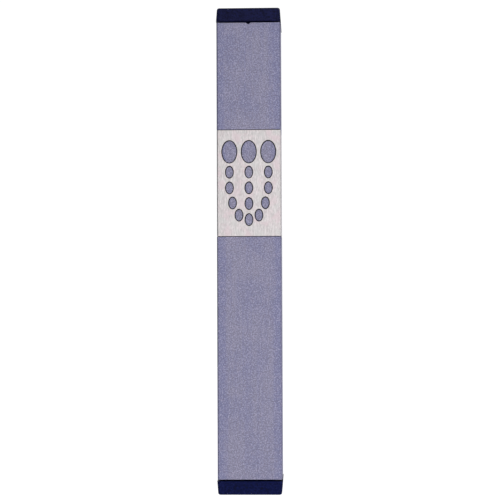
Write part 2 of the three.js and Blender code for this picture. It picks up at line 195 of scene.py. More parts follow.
class DoorpostCaseFinish(bpy.types.PropertyGroup):
    """Colours and finishes."""

    anodising: colour("Anodising", "Lavender grey of the channel", (0.237, 0.228, 0.314))
    # This bluer, darker tone gives the random variation in colour and also the painted shade
    # towards the channel's long sides.
    anodising_blue_and_edge_shade: colour("Anodising, shaded", "Bluer tone of the dye", (0.184, 0.187, 0.312))
    steel: colour("Band steel", "Warm silver of the band", (0.550, 0.514, 0.516))
    # The film's black is painted shade where it shows round the band's holes and edges.
    adhesive: colour("Adhesive film", "Black of the film under the band", (0.010, 0.009, 0.013))
    plastic: colour("Cap plastic", "Dark navy of the upper cap", (0.0054, 0.0060, 0.0320))
    plastic_low: colour("Lower cap", "Bluer navy of the lower cap", (0.0002, 0.0030, 0.0470))
    mill: colour("Rail aluminium", "Plain aluminium of the rail", (0.70, 0.71, 0.73))
    zinc: colour("Screw zinc", "Bright zinc plate of the screws", (0.74, 0.76, 0.80))
    skin: colour("Parchment", "Cream of the blank parchment", (0.80, 0.70, 0.52))
    film: colour("Film", "Tint of the clear film", (0.93, 0.96, 0.98))
    film_alpha: amount("Film opacity", "How much the clear film hides", 0.24)
    grain: amount("Blasted grain", "Strength of the channel's fine grain", 0.35)
    brushing: amount("Brushing", "Strength of the brush lines on the steel", 0.5)


class DoorpostCaseStage(bpy.types.PropertyGroup):
    """The camera, lights and floor."""

    azimuth: angle("Azimuth", "How far the camera stands to the right", 2.0)
    elevation: angle("Elevation", "Camera height as an angle", -2.3)
    roll: angle("Roll", "Turn of the camera about its own axis", -0.22)
    distance: length("Distance", "From the camera to the case's front", 446)
    view_height: length("View height", "Height that the picture covers at the case", 154.95)
    drop: length("Floor drop", "Room under the case for the lower cap to be pulled out", 124)
    floor: colour("Floor", "Pale floor", (0.90, 0.90, 0.90))


SETTINGS = {
    "doorpost_channel": DoorpostCaseChannel,
    "doorpost_band": DoorpostCaseBand,
    "doorpost_cap": DoorpostCaseCap,
    "doorpost_rail": DoorpostCaseRail,
    "doorpost_scroll": DoorpostCaseScroll,
    "doorpost_finish": DoorpostCaseFinish,
    "doorpost_stage": DoorpostCaseStage,
}


# ---------- Modelling by operators ----------


def deselect_all():
    """Leaves edit mode too, so every step on whole objects can follow one on faces or edges."""
    if bpy.context.object and bpy.context.object.mode != "OBJECT":
        bpy.ops.object.mode_set(mode="OBJECT")
    bpy.ops.object.select_all(action="DESELECT")


def edit():
    bpy.ops.object.mode_set(mode="EDIT")


def take_all():
    bpy.ops.mesh.select_all(action="SELECT")


def leave_edit():
    bpy.ops.object.mode_set(mode="OBJECT")


def activate(piece):
    deselect_all()
    piece.select_set(True)
    bpy.context.view_layer.objects.active = piece


def named(name):
    """Names the new primitive and moves its place into its mesh."""
    piece = bpy.context.object
    piece.name = name
    piece.data.name = name
    bpy.ops.object.transform_apply(location=True, rotation=True, scale=True)
    return piece


def add_block(name, low, high):
    deselect_all()
    centre = [(a + b) / 2 for a, b in zip(low, high)]
    bpy.ops.mesh.primitive_cube_add(size=1, location=centre)
    bpy.context.object.scale = [b - a for a, b in zip(low, high)]
    return named(name)


def add_oval(name, centre, width, height, depth, segments):
    """An oval plug along Y."""
    deselect_all()
    bpy.ops.mesh.primitive_cylinder_add(
        vertices=segments, radius=0.5, depth=depth, location=centre, rotation=(math.pi / 2, 0, 0)
    )
    bpy.context.object.scale = (width, height, 1)
    return named(name)


def add_pin(name, centre, radius, depth, segments):
    """A round plug along Y."""
    return add_oval(name, centre, 2 * radius, 2 * radius, depth, segments)


def pick(kind, test):
    """Goes into edit mode and selects only the vertices, edges or faces that pass a test."""
    edit()
    bpy.ops.mesh.select_mode(type=kind)
    bpy.ops.mesh.select_all(action="DESELECT")
    mesh = bpy.context.edit_object.data
    bm = bmesh.from_edit_mesh(mesh)
    for part in {"VERT": bm.verts, "EDGE": bm.edges, "FACE": bm.faces}[kind]:
        if test(part):
            part.select_set(True)
    bm.select_flush_mode()
    bmesh.update_edit_mesh(mesh)


def picked_box():
    """Lowest and highest corner of what is selected in edit mode."""
    bm = bmesh.from_edit_mesh(bpy.context.edit_object.data)
    points = [v.co for v in bm.verts if v.select]
    low = Vector([min(p[i] for p in points) for i in range(3)])
    high = Vector([max(p[i] for p in points) for i in range(3)])
    return low, high


def middle(edge):
    return (edge.verts[0].co + edge.verts[1].co) / 2


def runs_along(edge, axis):
    """Does an edge run along X, Y or Z?"""
    way = (edge.verts[1].co - edge.verts[0].co).normalized()
    return abs(way[axis]) > 0.999


def near(a, b):
    return abs(a - b) < NEAR


def pull(by):
    """Extrudes the selected face."""
    bpy.ops.mesh.extrude_region_move(TRANSFORM_OT_translate={"value": by})


def step_to(rise, half_width, front, back):
    """Extrudes the selected level face up, then fits it between new sides."""
    pull((0, 0, rise))
    low, high = picked_box()
    centre = (low + high) / 2
    scale = (2 * half_width / (high.x - low.x), (back - front) / (high.y - low.y), 1)
    bpy.ops.transform.resize(value=scale, center_override=centre)
    bpy.ops.transform.translate(value=(-centre.x, (front + back) / 2 - centre.y, 0))


def point_to_draw(name, place):
    """A single vertex, left selected in edit mode."""
    deselect_all()
    bpy.ops.mesh.primitive_plane_add(size=MM, location=place)
    piece = named(name)
    edit()
    bpy.ops.mesh.select_mode(type="VERT")
    take_all()
    bpy.ops.mesh.merge(type="CENTER")
    return piece


def draw_line(move):
    """Extrudes the selected vertex or line."""
    bpy.ops.mesh.extrude_vertices_move(TRANSFORM_OT_translate={"value": move})


def draw_through(corners):
    """Draws from one flat corner to the next, then selects it all."""
    for here, there in zip(corners, corners[1:]):
        draw_line((there[0] - here[0], there[1] - here[1], 0))
    take_all()


def drawn_outline(name, corners, z):
    """Draws a flat outline, closes it and fills it."""
    piece = point_to_draw(name, (*corners[0], z))
    draw_through(corners + corners[:1])
    bpy.ops.mesh.remove_doubles(threshold=WELD)
    bpy.ops.mesh.edge_face_add()
    leave_edit()
    return piece


def flipped(side):
    """The other side's corners, in the order that carries the outline on."""
    return [(-x, y) for x, y in reversed(side)]


def round_corners(radius, segments, where):
    """Rounds the outline's corners that pass a test on their place."""
    pick("VERT", lambda v: where(v.co))
    bpy.ops.mesh.bevel(offset=radius, segments=segments, affect="VERTICES", clamp_overlap=False)


def round_edges(radius, segments, where):
    """Rounds, or chamfers with one segment, the edges that pass a test."""
    pick("EDGE", where)
    bpy.ops.mesh.bevel(offset=radius, segments=segments, affect="EDGES")


def draw_in(where, scale, centre):
    """Shrinks the faces that pass a test towards a point."""
    pick("FACE", where)
    bpy.ops.transform.resize(value=scale, center_override=centre)


def raise_outline(piece, height):
    """Turns a flat outline into a solid of that height."""
    edit_all(piece)
    pull((0, 0, height))
    close_up()


def edit_all(piece):
    activate(piece)
    edit()
    take_all()


def close_up():
    """Merges what touches, points the faces outwards and leaves edit mode."""
    take_all()
    bpy.ops.mesh.remove_doubles(threshold=WELD)
    bpy.ops.mesh.normals_make_consistent(inside=False)
    leave_edit()


def modified(piece, kind, **settings):
    """Adds a modifier and applies it."""
    activate(piece)
    modifier = piece.modifiers.new(kind.title(), kind)
    for key, value in settings.items():
        setattr(modifier, key, value)
    bpy.ops.object.modifier_apply(modifier=modifier.name)


def cut(piece, *cutters, operation="DIFFERENCE"):
    """Cuts or joins solids, which are then thrown away."""
    for cutter in cutters:
        modified(piece, "BOOLEAN", object=cutter, operation=operation, solver="EXACT")
        bpy.data.objects.remove(cutter)


def soften(piece, width, sharper_than=40):
    """Bevels the sharp edges, then shades smooth with the flat faces kept flat."""
    modified(
        piece, "BEVEL", width=width, segments=2, limit_method="ANGLE",
        angle_limit=math.radians(sharper_than), use_clamp_overlap=True, miter_outer="MITER_ARC",
    )
    smooth(piece)


def smooth(piece):
    edit_all(piece)
    bpy.ops.mesh.dissolve_degenerate(threshold=WELD / 4)
    leave_edit()
    bpy.ops.object.shade_smooth_by_angle(angle=SHARP_FROM)
    modified(piece, "WEIGHTED_NORMAL", keep_sharp=True, weight=80)


def copy_of(piece, name):
    activate(piece)
    bpy.ops.object.duplicate()
    twin = bpy.context.object
    twin.name = name
    twin.data.name = name
    return twin


def placed(piece, turn, place):
    """Turns and moves a piece, and keeps that in its mesh."""
    piece.rotation_euler = turn
    piece.location = place
    activate(piece)
    bpy.ops.object.transform_apply(location=True, rotation=True)


def finished(slot, finish, *pieces):
    """Gives each piece the same finish, the body it rides on and the node it stands for."""
    material = finish(bpy.context.scene.doorpost_finish)
    for piece, body, node in pieces:
        piece.data.materials.clear()
        piece.data.materials.append(material)
        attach(piece, body)
        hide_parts(node)


# ---------- Materials as expressions ----------


class Wire:
    """An output of a shader node. Each operator adds the Math node it stands for."""

    def __init__(self, maker, socket):
        self.maker = maker
        self.socket = socket

    def math(self, operation, *values):
        return self.maker.node("ShaderNodeMath", dict(enumerate(values)), operation=operation)

    def __add__(self, other):
        return self.math("ADD", self, other)

    __radd__ = __add__

    def __sub__(self, other):
        return self.math("SUBTRACT", self, other)

    def __rsub__(self, other):
        return self.math("SUBTRACT", other, self)

    def __mul__(self, other):
        return self.math("MULTIPLY", self, other)

    __rmul__ = __mul__

    def __pow__(self, other):
        return self.math("POWER", self, other)

    def __abs__(self):
        return self.math("ABSOLUTE", self)

    def below(self, limit):
        return self.math("MINIMUM", self, limit)

    def ramp(self, low, high, to_low=0.0, to_high=1.0):
        """Eases from one value to another as this one goes from low to high."""
        inputs = {
            "Value": self, "From Min": low, "From Max": high, "To Min": to_low, "To Max": to_high
        }
        return self.maker.node("ShaderNodeMapRange", inputs, interpolation_type="SMOOTHSTEP")


class Finish:
    """A material in the making, or the world."""

    def __init__(self, name, kind="materials"):
        self.material = getattr(bpy.data, kind).new(name)
        self.material.use_nodes = True
        self.tree = self.material.node_tree
        self.tree.nodes.clear()
        self.place = self.node("ShaderNodeTexCoord", output="Object")

    def node(self, kind, inputs=None, output=0, stops=(), **settings):
        """Adds a node with its settings, then the values or links of its sockets."""
        made = self.tree.nodes.new(kind)
        for key, value in settings.items():
            setattr(made, key, value)
        if stops:
            self.set_stops(made.color_ramp, stops)
        for key, value in (inputs or {}).items():
            if isinstance(value, Wire):
                self.tree.links.new(value.socket, made.inputs[key])
            else:
                made.inputs[key].default_value = value
        return Wire(self, made.outputs[output]) if len(made.outputs) else None

    @staticmethod
    def set_stops(ramp, stops):
        while len(ramp.elements) < len(stops):
            ramp.elements.new(1.0)
        for element, (position, value) in zip(ramp.elements, stops):
            element.position = position
            element.color = (*value, 1.0)

    def coordinate(self, axis):
        return self.node("ShaderNodeSeparateXYZ", {0: self.place}, axis)

    def noise(self, scale, detail, roughness, vector=None, distortion=0.0):
        """Cloudy noise, with its scale in features per metre."""
        inputs = {
            "Vector": vector or self.place, "Scale": scale, "Detail": detail,
            "Roughness": roughness, "Distortion": distortion,
        }
        return self.node("ShaderNodeTexNoise", inputs)

    def streaks(self, scales, detail, roughness, turn=(0, 0, 0), size=1, distortion=0.0):
        """Noise scaled differently along X, Y and Z."""
        inputs = {"Vector": self.place, "Scale": scales, "Rotation": turn}
        vector = self.node("ShaderNodeMapping", inputs, vector_type="POINT")
        return self.noise(size, detail, roughness, vector, distortion)

    def pits(self, scale):
        """Distance to the nearest of a cloud of points."""
        inputs = {"Vector": self.place, "Scale": scale, "Randomness": 1.0}
        return self.node("ShaderNodeTexVoronoi", inputs, "Distance", feature="F1")

    def blend(self, share, first, second):
        """One colour turning into another."""
        inputs = {0: share}
        for socket, value in ((6, first), (7, second)):
            inputs[socket] = value if isinstance(value, Wire) else (*value, 1.0)
        return self.node("ShaderNodeMix", inputs, output=2, data_type="RGBA")

    def bump(self, height, distance, strength):
        inputs = {"Height": height, "Distance": distance, "Strength": strength}
        return self.node("ShaderNodeBump", inputs)

    def shade(self, **inputs):
        """Ends the material in a Principled shader. Underscores in names stand for spaces."""
        values = {}
        for key, value in inputs.items():
            if isinstance(value, (tuple, Color)):
                value = (*value, 1.0)
            values[key.replace("_", " ")] = value
        shader = self.node("ShaderNodeBsdfPrincipled", values)
        self.node("ShaderNodeOutputMaterial", {"Surface": shader})
        return self.material


def toned(colour, *factors):
    """A colour made lighter or darker, by one factor or by one each for red, green and blue."""
    return tuple(c * f for c, f in zip(colour, factors if len(factors) == 3 else factors * 3))


def worn_and_highlit_corners(maker, low, high):
    """Is 1 at the long corners of an upright box, fading out within a short reach. It masks real
    wear on the channel and a painted highlight on the band.
    """
    reach = 0.5 * MM
    x = maker.coordinate("X")
    y = maker.coordinate("Y")
    centre_y = (low[1] + high[1]) / 2
    half_x = (high[0] - low[0]) / 2
    half_y = (high[1] - low[1]) / 2
    from_side = half_x - abs(x)
    from_face = half_y - abs(y - centre_y)
    return (from_side + from_face).ramp(0.3 * reach, reach, 1.0, 0.0)


def anodised_metal(finish):
    """Satin lavender anodising over a mottled, blasted grain, a little worn along its corners, with
    painted shade darkening the front towards both long sides.
    """
    maker = Finish("lavender_anodised")
    fine = maker.noise(5200, 2.0, 0.6)
    grain = maker.noise(2800, 2.0, 0.55)
    blotch = maker.noise(700, 3.0, 0.6)
    cloud = maker.noise(95, 3.0, 0.55)
    drawn = maker.streaks((26, 26, 0.35), 2.0, 0.5, size=60)
    pits = maker.pits(2900)

    # Painted shade: within about 4 mm of each long side the colour is blended towards the bluer,
    # darker tone, standing in for the shade the lighting gives there.
    to_side = SHELL_HIGH[0] - abs(maker.coordinate("X"))
    painted_edge_shade = to_side.ramp(0.2 * MM, 4.2 * MM, 0.95, 0.0)
    drift_and_edge_shade = ((cloud * 0.6 + drawn * 0.4).ramp(0.38, 0.62) * 0.75 + painted_edge_shade).below(1.0)
    dye_with_edge_shade = maker.blend(drift_and_edge_shade, finish.anodising, finish.anodising_blue_and_edge_shade)
    rosy = toned(finish.anodising, 1.10, 0.99, 0.96)
    hue = maker.blend(blotch.ramp(0.5, 0.68) * 0.3, dye_with_edge_shade, rosy)
    pale = maker.blend(grain.ramp(0.48, 0.70), hue, toned(finish.anodising, 1.52))
    dark = maker.blend(grain.ramp(0.34, 0.50, 0.6, 0.0), pale, toned(finish.anodising, 0.62))
    pitted = maker.blend(pits.ramp(0.02, 0.25, 0.35, 0.0), dark, toned(finish.anodising, 0.5))
    scuffs = maker.noise(420, 4.0, 0.7).ramp(0.5, 0.68)
    worn = worn_and_highlit_corners(maker, SHELL_LOW, SHELL_HIGH) * scuffs * 0.2
    colour_out = maker.blend(worn, pitted, (0.60, 0.60, 0.64))

    roughness = 0.40 + grain * 0.14 + cloud * 0.06 - worn * 0.15
    height = grain * 0.7 + fine * 0.3 - pits.ramp(0.0, 0.25, 0.4, 0.0)
    return maker.shade(
        Base_Color=colour_out, Metallic=0.82, Roughness=roughness,
        Normal=maker.bump(height, 0.03 * MM, finish.grain),
    )


def brushed_steel(finish):
    """Warm silver sheet with short brush lines up and down, a mottled warm and cool bloom, and a
    painted highlight along its long corners.
    """
    maker = Finish("brushed_band_steel")
    lines = maker.streaks((2700, 2700, 950), 3.0, 0.6)
    hair = maker.streaks((5600, 5600, 420), 2.0, 0.5)
    bloom = maker.noise(330, 3.0, 0.6)
    tone = (lines * 0.6 + hair * 0.4).ramp(0.38, 0.62)
    steel = maker.blend(tone, toned(finish.steel, 0.81), toned(finish.steel, 1.14))
    rosy = toned(finish.steel, 1.06, 0.95, 0.99)
    warm = maker.blend(bloom.ramp(0.48, 0.66) * 0.7, steel, rosy)
    grey = toned(finish.steel, 0.92, 0.97, 0.95)
    cool = maker.blend(bloom.ramp(0.34, 0.5, 1.0, 0.0) * 0.6, warm, grey)
    scratch = maker.streaks((1500, 1500, 120), 1.0, 0.4, (0.0, 0.3, 0.0))
    marks = scratch.ramp(0.70, 0.80) * 0.15
    colour_out = maker.blend(marks, cool, (0.42, 0.40, 0.42))
    # Painted highlight: the band's long corners are blended towards pale silver, standing in for
    # light caught where the sheet turns round the sides.
    painted_corner_highlight = worn_and_highlit_corners(maker, BAND_LOW, BAND_HIGH) * 0.7
    colour_out = maker.blend(painted_corner_highlight, colour_out, (0.88, 0.85, 0.85))
    roughness = 0.34 + lines * 0.14 + bloom * 0.06 + painted_corner_highlight * 0.1
    normal = maker.bump(lines * 0.6 + hair * 0.4 + marks, 0.012 * MM, finish.brushing)
    return maker.shade(Base_Color=colour_out, Metallic=1.0, Roughness=roughness, Normal=normal)


def black_adhesive(finish):
    """Matt black film, faintly crinkled where it was rolled on. Where it shows round the band's
    holes and edges, its black is painted shade.
    """
    maker = Finish("black_adhesive")
    crinkle = maker.noise(2400, 3.0, 0.6)
    dust = maker.noise(5200, 2.0, 0.6).ramp(0.62, 0.8)
    colour_out = maker.blend(dust * 0.5, finish.adhesive, (0.06, 0.06, 0.07))
    return maker.shade(
        Base_Color=colour_out, Roughness=0.7 + crinkle * 0.15, Specular_IOR_Level=0.2,
        Normal=maker.bump(crinkle, 0.02 * MM, 0.5),
    )


def moulded_plastic(finish):
    """Dark navy plastic with a fine spark-eroded texture."""
    maker = Finish("navy_moulded_plastic")
    texture = maker.noise(2600, 3.0, 0.6)
    cloud = maker.noise(160, 2.0, 0.5)
    flow = maker.streaks((500, 500, 120), 2.0, 0.5)
    lighter = tuple(min(1.0, 1.5 * c + 0.001) for c in finish.plastic)
    plastic = maker.blend((cloud * 0.6 + flow * 0.4).ramp(0.35, 0.7), finish.plastic, lighter)
    lower_end = maker.coordinate("Z").ramp(-0.05, 0.05, 1.0, 0.0)
    plastic = maker.blend(lower_end, plastic, finish.plastic_low)
    fleck = maker.noise(2100, 2.0, 0.6)
    pale = maker.blend(fleck.ramp(0.48, 0.68) * 0.5, plastic, (0.010, 0.014, 0.080))
    plastic = maker.blend(fleck.ramp(0.34, 0.50, 0.7, 0.0), pale, (0.0004, 0.0008, 0.009))
    rubs = maker.noise(700, 4.0, 0.7).ramp(0.6, 0.75) * 0.25
    colour_out = maker.blend(rubs, plastic, (0.016, 0.022, 0.062))
    roughness = 0.42 + texture * 0.12 + cloud * 0.06
    return maker.shade(
        Base_Color=colour_out, Roughness=roughness, Specular_IOR_Level=0.07,
        Normal=maker.bump(texture, 0.02 * MM, 0.3),
    )


def mill_aluminium(finish):
    """Plain extruded aluminium, with drawing lines up and down and dull stains."""
    maker = Finish("mill_aluminium")
    lines = maker.streaks((3400, 3400, 22), 4.0, 0.65)
    stain = maker.noise(150, 4.0, 0.6, distortion=0.6)
    dull = toned(finish.mill, 0.72)
    metal = maker.blend((lines * 0.6 + stain * 0.4).ramp(0.35, 0.65), dull, finish.mill)
    roughness = 0.34 + lines * 0.18 + stain * 0.12
    normal = maker.bump(lines, 0.02 * MM, 0.45)
    return maker.shade(Base_Color=metal, Metallic=1.0, Roughness=roughness, Normal=normal)


def zinc_plate(finish):
    """Bright zinc with a faint blue and yellow bloom, and dirt in the thread."""
    maker = Finish("zinc_plated_steel")
    bloom = maker.noise(380, 3.0, 0.55)
    speck = maker.noise(3800, 2.0, 0.6)
    blue = (0.64, 0.68, 0.78)
    yellow = (0.78, 0.74, 0.64)
    stops = [(0.3, blue), (0.55, tuple(finish.zinc)), (0.75, yellow)]
    zinc = maker.node("ShaderNodeValToRGB", {"Fac": bloom}, stops=stops)
    colour_out = maker.blend(speck.ramp(0.6, 0.8) * 0.4, zinc, (0.3, 0.3, 0.32))
    roughness = 0.24 + speck * 0.14 + bloom * 0.08
    normal = maker.bump(speck, 0.01 * MM, 0.4)
    return maker.shade(Base_Color=colour_out, Metallic=1.0, Roughness=roughness, Normal=normal)


def parchment_skin(finish):
    """Scraped skin: cream with darker cloud, pores and a browned edge."""
    maker = Finish("blank_parchment")
    cloud = maker.noise(210, 5.0, 0.6, distortion=0.4)
    fibre = maker.streaks((2200, 2200, 900), 4.0, 0.6)
    pores = maker.pits(1500)
    tan = toned(finish.skin, 0.86, 0.78, 0.66)
    skin = maker.blend(cloud.ramp(0.4, 0.68), finish.skin, tan)
    dotted = maker.blend(pores.ramp(0.05, 0.25, 0.3, 0.0), skin, (0.46, 0.34, 0.20))
    z = maker.coordinate("Z")
    to_end = abs(z - (ROLL_LOW[2] + ROLL_HIGH[2]) / 2)
    half = (ROLL_HIGH[2] - ROLL_LOW[2]) / 2
    ragged = to_end + (cloud - 0.5) * (1.2 * MM)
    browned = ragged.ramp(half - 1.6 * MM, half, 0.0, 0.5)
    colour_out = maker.blend(browned, dotted, (0.52, 0.37, 0.20))
    roughness = 0.62 + fibre * 0.2
    height = fibre + cloud * 0.5 - pores.ramp(0.0, 0.3, 0.4, 0.0)
    return maker.shade(
        Base_Color=colour_out, Roughness=roughness, Specular_IOR_Level=0.35,
        Normal=maker.bump(height, 0.05 * MM, 0.4),
    )


def clear_film(finish):
    """Thin clear film with faint creases."""
    maker = Finish("clear_film")
    creases = maker.streaks((420, 420, 40), 3.0, 0.6, distortion=0.8)
    roughness = 0.06 + creases.ramp(0.45, 0.7) * 0.16
    return maker.shade(
        Base_Color=finish.film, Alpha=finish.film_alpha, Roughness=roughness,
        Normal=maker.bump(creases, 0.06 * MM, 0.35),
    )


def pale_floor(stage):
    """Even pale studio floor, that is clear from below so that the case's underside can be seen."""
    maker = Finish("pale_floor")
    paper = maker.noise(900, 2.0, 0.5)
    tone = maker.blend(paper.ramp(0.3, 0.7), toned(stage.floor, 0.985), stage.floor)
    x = maker.coordinate("X")
    y = maker.coordinate("Y")
    away = ((x * x + y * y) ** 0.5).ramp(0.15, 0.9)
    glow = maker.blend(away, (0.62, 0.62, 0.62), (0.80, 0.80, 0.80))
    paint = {"Base Color": tone, "Roughness": 0.9, "Specular IOR Level": 0.0}
    light = {"Emission Color": glow, "Emission Strength": 1.0}
    lit = maker.node("ShaderNodeBsdfPrincipled", {**paint, **light})
    clear = maker.node("ShaderNodeBsdfTransparent")
    below = maker.node("ShaderNodeNewGeometry", output="Backfacing")
    one_sided = maker.node("ShaderNodeMixShader", {0: below, 1: lit, 2: clear})
    maker.node("ShaderNodeOutputMaterial", {"Surface": one_sided})
    return maker.material


# ---------- The channel ----------


def channel_outline(channel):
    """The channel's section, from its right lip round the outside, and back round the inside."""
    half = SHELL_HIGH[0]
    back = SHELL_HIGH[1]
    front = SHELL_LOW[1]
    inner = half - channel.wall
    rib = inner - channel.rib
    groove_back = back - channel.lip
    groove_front = groove_back - channel.groove
    rib_front = groove_front - channel.rib
    slot = channel.slot / 2
    outside = [(slot, back), (half, back), (half, front)]
    inside = [
        (inner, front + channel.wall), (inner, rib_front), (rib, rib_front), (rib, groove_front),
        (inner, groove_front), (inner, groove_back), (slot, groove_back),
    ]
    return outside + flipped(outside) + flipped(inside) + inside


def punched_stops(channel):
    """Bumps in the groove that the case hangs by on the rail's top, and the dimples behind them."""
    radius = 0.9 * MM
    x = (channel.slot / 2 + SHELL_HIGH[0] - channel.wall) / 2
    z = RAIL_HIGH[2] + 0.1 * MM + radius
    lip_front = SHELL_HIGH[1] - channel.lip
    bumps = []
    dimples = []
    for side in (-x, x):
        bump = add_pin("bump", (side, lip_front - 0.6 * MM, z), radius, 2 * MM, 32)
        round_edges(
            0.45 * MM, 4, lambda e: near(middle(e).y, lip_front - 1.6 * MM) and not runs_along(e, 1)
        )
        dimple = add_pin("dimple", (side, SHELL_HIGH[1], z), 0.5 * MM, 1.6 * MM, 24)
        draw_in(lambda f: f.normal.y < -0.9, PUNCH_TIP, (side, 0, z))
        bumps.append(bump)
        dimples.append(dimple)
    return bumps, dimples


def build_channel(context):
    channel = context.scene.doorpost_channel
    half = SHELL_HIGH[0]
    front = SHELL_LOW[1]
    outer_y = (front, SHELL_HIGH[1])
    piece = drawn_outline("anodised_channel", channel_outline(channel), SHELL_LOW[2])
    round_corners(
        channel.corner, 6, lambda p: near(abs(p.x), half) and any(near(p.y, y) for y in outer_y)
    )
    round_corners(
        channel.corner, 5,
        lambda p: near(abs(p.x), half - channel.wall) and near(p.y, front + channel.wall),
    )
    raise_outline(piece, SHELL_HIGH[2] - SHELL_LOW[2])

    nick_y = front + channel.wall / 2
    nick = add_pin("nick", (0, nick_y, SHELL_HIGH[2] + 0.25 * MM), channel.nick, 4 * MM, 40)
    band = context.scene.doorpost_band
    recess = wrapped_sheet(
        "recess", -band.recess, 1 * MM, BAND_HIGH[1] + band.margin,
        BAND_LOW[2] - band.margin, BAND_HIGH[2] + band.margin, channel.corner,
    )
    bumps, dimples = punched_stops(channel)
    cut(piece, nick, recess, *dimples)
    cut(piece, *bumps, operation="UNION")
    soften(piece, channel.edge)
    finished("anodised_aluminium", anodised_metal, (piece, "case", "case_shell"))


# ---------- The perforated band, and its black film that paints shade round the holes ---


def wrapped_sheet(name, inside, outside, end_y, low_z, high_z, corner):
    """A sheet bent round the front and sides, between two distances out from the channel."""
    half = SHELL_HIGH[0]
    front = SHELL_LOW[1]
    outer = [(half + outside, end_y), (half + outside, front - outside)]
    inner = [(half + inside, front - inside), (half + inside, end_y)]
    piece = drawn_outline(name, outer + flipped(outer) + flipped(inner) + inner, low_z)
    for reach in (outside, inside):
        round_corners(
            corner + reach, 8, lambda p: near(abs(p.x), half + reach) and near(p.y, front - reach)
        )
    raise_outline(piece, high_z - low_z)
    return piece


def oval_places():
    """Middles of the holes, from the band's middle, and whether each is a large one."""
    arm = 6.05 * MM
    row_heights = [9.75 * MM, 3.4 * MM, -1.5 * MM]
    places = [(x, row_heights[0], True) for x in (-arm, 0, arm)]
    places += [(x, z, False) for z in row_heights[1:] for x in (-arm, 0, arm)]
    places += [(0, -6.4 * MM, False), (0, -11.4 * MM, False)]
    for x, z in ((5.1 * MM, -6.2 * MM), (3.1 * MM, -10 * MM)):
        places += [(-x, z, False), (x, z, False)]
    return places


def perforated_sheet(context, name, low, high, thickness, drawn_in):
    """A sheet wrapped round the front, with fifteen holes drawn in by the same amount all round."""
    band = context.scene.doorpost_band
    corner = context.scene.doorpost_channel.corner
    top = low[1] - SHELL_LOW[1]
    piece = wrapped_sheet(name, -top - thickness, -top, high[1], low[2], high[2], corner)
    middle_z = (BAND_LOW[2] + BAND_HIGH[2]) / 2
    plugs = []
    for x, z, large in oval_places():
        width = (band.large_width if large else band.small_width) - 2 * drawn_in
        height = (band.large_height if large else band.small_height) - 2 * drawn_in
        segments = 64 if large else 44
        place = (x, SHELL_LOW[1], middle_z + z)
        plugs.append(add_oval("plug", place, width, height, 2 * MM, segments))
    cut(piece, *plugs)
    return piece


def build_band(context):
    band = context.scene.doorpost_band
    piece = perforated_sheet(context, "brushed_band", BAND_LOW, BAND_HIGH, band.thickness, 0)
    soften(piece, band.edge)
    finished("brushed_band", brushed_steel, (piece, "case", "perforated_band"))


def build_adhesive_shade(context):
    band = context.scene.doorpost_band
    # The film's holes are drawn in, so that it shows round each hole as painted shade.
    piece = perforated_sheet(
        context, "adhesive_film_painted_shade", ADHESIVE_LOW, ADHESIVE_HIGH, band.bed, band.showing
    )
    smooth(piece)
    finished("black_adhesive", black_adhesive, (piece, "case", "adhesive_film"))


# ---------- The caps ----------


def rail_way(channel, low_z, high_z):
    """A T-shaped plug the size of the way through a cap for the rail."""
    ease = 0.1 * MM
    slot = channel.slot / 2 + ease
    groove = SHELL_HIGH[0] - channel.wall + ease
    lip_front = SHELL_HIGH[1] - channel.lip
    groove_front = lip_front - channel.groove
    plug = add_block("rail_way", (-slot, lip_front - ease, low_z), (slot, 1 * MM, high_z))
    wide = add_block(
        "rail_way_wide", (-groove, groove_front - ease, low_z), (groove, lip_front + ease, high_z)
    )
    cut(plug, wide, operation="UNION")
    return plug


def spigot_level(channel, rise, gap):
    """Rise, half width, front and back of a level that clears the channel by a gap."""
    inner = SHELL_HIGH[0] - channel.wall
    chamber_front = SHELL_LOW[1] + channel.wall
    rib_front = SHELL_HIGH[1] - channel.lip - channel.groove - channel.rib
    return (rise, inner - gap, chamber_front + gap, rib_front - gap)


def spigot_steps(fins):
    """Rises and gaps of the spigot's levels, from the head up to the last fin."""
    fin = [
        (0.1 * MM, FIN_GAP + 0.12 * MM), (0.12 * MM, FIN_GAP), (0.2 * MM, FIN_GAP),
        (0.14 * MM, FIN_GAP + 0.1 * MM), (0.36 * MM, CORE_GAP), (1.88 * MM, CORE_GAP),
    ]
    return [(0, CORE_GAP - 0.25 * MM), (0.3 * MM, CORE_GAP), (1.0 * MM, CORE_GAP)] + fin * fins


def hollow_spigot(piece, cap, channel):
    """Sinks two pockets from the spigot's tip, with a wall left between them."""
    _, half, front, back = spigot_level(channel, 0, CORE_GAP)
    cross_wall = 1.2 * MM
    floor_z = CAP_LOW[2] + cap.head - 2.1 * MM
    for side in (-1, 1):
        low_x, high_x = sorted((side * cross_wall / 2, side * (half - cap.wall)))
        high = (high_x, back - cap.wall, CAP_HIGH[2] + MM)
        pocket = add_block("pocket", (low_x, front + cap.wall, floor_z), high)
        round_edges(0.5 * MM, 4, lambda e: runs_along(e, 2))
        cut(piece, pocket)


def mark_gate(piece, y):
    """The dish and nub left under the cap where the plastic entered the mould."""
    gate = add_pin("gate", (0, 0, 0), 1.1 * MM, 0.5 * MM, 32)
    nub = add_pin("nub", (0, 0, 0), 0.45 * MM, 0.5 * MM, 24)
    for mark, raised in ((gate, 0), (nub, 0.34 * MM)):
        placed(mark, (math.pi / 2, 0, 0), (0, y, CAP_LOW[2] + raised))
    cut(piece, gate)
    cut(piece, nub, operation="UNION")


